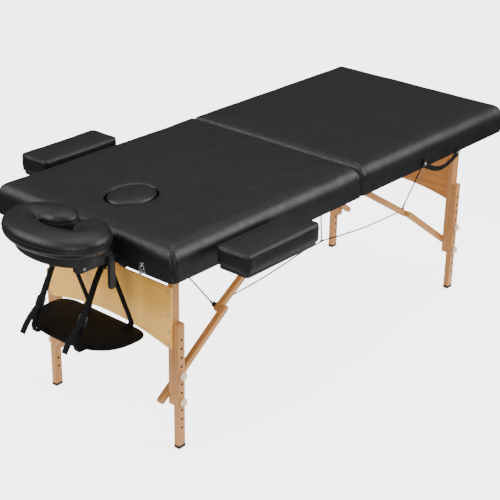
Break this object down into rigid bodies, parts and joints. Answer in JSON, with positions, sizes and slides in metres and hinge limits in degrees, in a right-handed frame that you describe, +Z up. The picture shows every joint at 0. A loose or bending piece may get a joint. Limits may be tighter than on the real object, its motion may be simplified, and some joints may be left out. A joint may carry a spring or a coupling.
{
  "type": "portable massage table",
  "caption": "Folding massage table: two padded halves joined by a hinge, folding wooden legs with braces and cables, height extensions, face cradle, arm shelf, armrests and face hole plug.",
  "frame": {"origin": "middle of the bounding box on the floor, with the four feet standing on z = 0", "axes": "+X along the table from the face cradle to the foot end, +Y across it, +Z up"},
  "size_m": [2.1145, 1.132, 0.7993],
  "materials": {
    "cover": "black semi-gloss upholstery vinyl",
    "plywood": "light plywood under clear satin varnish",
    "wood": "beech under clear satin varnish",
    "knob": "smooth pale beige",
    "rubber": "matte black",
    "cable": "black plastic-coated steel cable",
    "steel": "zinc plated",
    "chrome": "polished",
    "black_board": "black coated board",
    "black_plastic": "moulded black plastic",
    "webbing": "black woven polyester webbing"
  },
  "bodies": {
    "head_half": {"head_pad": "cover", "head_deck": "plywood", "head_frame": "wood", "head_leg_rod": "steel", "head_hinge_leaf": "steel", "head_near_corner_cable": "cable", "head_far_corner_cable": "cable", "near_side_cable": "cable", "far_side_cable": "cable"},
    "foot_half": {"foot_pad": "cover", "foot_deck": "plywood", "foot_frame": "wood", "foot_leg_rod": "steel", "foot_hinge_leaf": "steel", "foot_near_corner_cable": "cable", "foot_far_corner_cable": "cable", "carry_handle": "webbing"},
    "head_legs": {"head_near_leg": "wood", "head_far_leg": "wood", "head_end_panel": "plywood"},
    "foot_legs": {"foot_near_leg": "wood", "foot_far_leg": "wood", "foot_end_panel": "plywood"},
    "head_upper_struts": {"head_near_upper_strut": "wood", "head_far_upper_strut": "wood"},
    "foot_upper_struts": {"foot_near_upper_strut": "wood", "foot_far_upper_strut": "wood"},
    "head_lower_struts": {"head_near_lower_strut": "wood", "head_far_lower_strut": "wood"},
    "foot_lower_struts": {"foot_near_lower_strut": "wood", "foot_far_lower_strut": "wood"},
    "head_near_shin": {"head_near_extension": "wood", "head_near_foot": "rubber"},
    "head_far_shin": {"head_far_extension": "wood", "head_far_foot": "rubber"},
    "foot_near_shin": {"foot_near_extension": "wood", "foot_near_foot": "rubber"},
    "foot_far_shin": {"foot_far_extension": "wood", "foot_far_foot": "rubber"},
    "head_near_upper_grip": {"head_near_upper_knob": "knob"},
    "head_near_lower_grip": {"head_near_lower_knob": "knob"},
    "head_far_upper_grip": {"head_far_upper_knob": "knob"},
    "head_far_lower_grip": {"head_far_lower_knob": "knob"},
    "foot_near_upper_grip": {"foot_near_upper_knob": "knob"},
    "foot_near_lower_grip": {"foot_near_lower_knob": "knob"},
    "foot_far_upper_grip": {"foot_far_upper_knob": "knob"},
    "foot_far_lower_grip": {"foot_far_lower_knob": "knob"},
    "near_armrest": {"near_armrest_pad": "cover", "near_armrest_board": "black_board"},
    "far_armrest": {"far_armrest_pad": "cover", "far_armrest_board": "black_board"},
    "plug": {"face_hole_plug": "cover"},
    "cradle_carrier": {"cradle_bracket": "black_board", "arm_shelf": "cover", "near_shelf_strap": "webbing", "far_shelf_strap": "webbing"},
    "cradle_headrest": {"cradle_cushion": "cover", "cradle_platform": "black_board"},
    "cradle_lock": {"cradle_lever": "black_plastic"},
    "latch": {"end_latch": "chrome"}
  },
  "joints": [
    {"name": "centre_fold", "type": "hinge", "parent": "head_half", "child": "foot_half", "pos_m": [0.13225, 0, 0.6622], "axis": [0, 1, 0], "range_deg": [0, 90], "deforming": ["near_side_cable", "far_side_cable"]},
    {"name": "head_leg_fold", "type": "hinge", "parent": "head_half", "child": "head_legs", "pos_m": [-0.65775, 0, 0.687], "axis": [0, -1, 0], "range_deg": [0, 90], "deforming": ["head_near_corner_cable", "head_far_corner_cable", "near_side_cable", "far_side_cable"]},
    {"name": "foot_leg_fold", "type": "hinge", "parent": "foot_half", "child": "foot_legs", "pos_m": [0.92225, 0, 0.687], "axis": [0, 1, 0], "range_deg": [0, 90], "deforming": ["foot_near_corner_cable", "foot_far_corner_cable", "near_side_cable", "far_side_cable"]},
    {"name": "head_upper_strut_fold", "type": "hinge", "parent": "head_half", "child": "head_upper_struts", "pos_m": [0.09225, 0, 0.696], "axis": [0, 1, 0], "range_deg": [0, 31.91]},
    {"name": "foot_upper_strut_fold", "type": "hinge", "parent": "foot_half", "child": "foot_upper_struts", "pos_m": [0.17225, 0, 0.696], "axis": [0, -1, 0], "range_deg": [0, 31.91]},
    {"name": "head_lower_strut_fold", "type": "hinge", "parent": "head_legs", "child": "head_lower_struts", "pos_m": [-0.65775, 0, 0.203], "axis": [0, -1, 0], "range_deg": [0, 52.46]},
    {"name": "foot_lower_strut_fold", "type": "hinge", "parent": "foot_legs", "child": "foot_lower_struts", "pos_m": [0.92225, 0, 0.203], "axis": [0, 1, 0], "range_deg": [0, 52.46]},
    {"name": "head_near_height", "type": "slide", "parent": "head_legs", "child": "head_near_shin", "axis": [0, 0, -1], "range_m": [-0.096, 0.064]},
    {"name": "head_far_height", "type": "slide", "parent": "head_legs", "child": "head_far_shin", "axis": [0, 0, -1], "range_m": [-0.096, 0.064]},
    {"name": "foot_near_height", "type": "slide", "parent": "foot_legs", "child": "foot_near_shin", "axis": [0, 0, -1], "range_m": [-0.096, 0.064]},
    {"name": "foot_far_height", "type": "slide", "parent": "foot_legs", "child": "foot_far_shin", "axis": [0, 0, -1], "range_m": [-0.096, 0.064]},
    {"name": "head_near_upper_knob_turn", "type": "hinge", "parent": "head_legs", "child": "head_near_upper_grip", "pos_m": [-0.65775, -0.3055, 0.2705], "axis": [0, -1, 0], "continuous": true},
    {"name": "head_near_lower_knob_turn", "type": "hinge", "parent": "head_legs", "child": "head_near_lower_grip", "pos_m": [-0.65775, -0.3055, 0.1745], "axis": [0, -1, 0], "continuous": true},
    {"name": "head_far_upper_knob_turn", "type": "hinge", "parent": "head_legs", "child": "head_far_upper_grip", "pos_m": [-0.65775, 0.3055, 0.2705], "axis": [0, 1, 0], "continuous": true},
    {"name": "head_far_lower_knob_turn", "type": "hinge", "parent": "head_legs", "child": "head_far_lower_grip", "pos_m": [-0.65775, 0.3055, 0.1745], "axis": [0, 1, 0], "continuous": true},
    {"name": "foot_near_upper_knob_turn", "type": "hinge", "parent": "foot_legs", "child": "foot_near_upper_grip", "pos_m": [0.92225, -0.3055, 0.2705], "axis": [0, -1, 0], "continuous": true},
    {"name": "foot_near_lower_knob_turn", "type": "hinge", "parent": "foot_legs", "child": "foot_near_lower_grip", "pos_m": [0.92225, -0.3055, 0.1745], "axis": [0, -1, 0], "continuous": true},
    {"name": "foot_far_upper_knob_turn", "type": "hinge", "parent": "foot_legs", "child": "foot_far_upper_grip", "pos_m": [0.92225, 0.3055, 0.2705], "axis": [0, 1, 0], "continuous": true},
    {"name": "foot_far_lower_knob_turn", "type": "hinge", "parent": "foot_legs", "child": "foot_far_lower_grip", "pos_m": [0.92225, 0.3055, 0.1745], "axis": [0, 1, 0], "continuous": true},
    {"name": "near_armrest_slide", "type": "slide", "parent": "head_half", "child": "near_armrest", "axis": [0, -1, 0], "range_m": [0, 0.06]},
    {"name": "far_armrest_slide", "type": "slide", "parent": "head_half", "child": "far_armrest", "axis": [0, 1, 0], "range_m": [0, 0.06]},
    {"name": "plug_lift", "type": "slide", "parent": "head_half", "child": "plug", "axis": [0, 0, 1], "range_m": [0, 0.1]},
    {"name": "cradle_slide", "type": "slide", "parent": "head_half", "child": "cradle_carrier", "axis": [-1, 0, 0], "range_m": [0, 0.06]},
    {"name": "cradle_tilt", "type": "hinge", "parent": "cradle_carrier", "child": "cradle_headrest", "pos_m": [-0.95275, -0.05, 0.7092], "axis": [0, -1, 0], "range_deg": [0, 25]},
    {"name": "cradle_lever_turn", "type": "hinge", "parent": "cradle_carrier", "child": "cradle_lock", "pos_m": [-0.82975, -0.1813, 0.7], "axis": [0, 1, 0], "range_deg": [0, 75]},
    {"name": "end_latch_swing", "type": "hinge", "parent": "head_half", "child": "latch", "pos_m": [-0.79595, -0.274, 0.698], "axis": [0, 1, 0], "range_deg": [0, 80]}
  ],
  "couplings": [
    {"joint": "head_upper_strut_fold", "follows": "head_leg_fold", "ratio": 0.35455},
    {"joint": "head_lower_strut_fold", "follows": "head_leg_fold", "ratio": 0.58284},
    {"joint": "foot_upper_strut_fold", "follows": "foot_leg_fold", "ratio": 0.35455},
    {"joint": "foot_lower_strut_fold", "follows": "foot_leg_fold", "ratio": 0.58284}
  ]
}
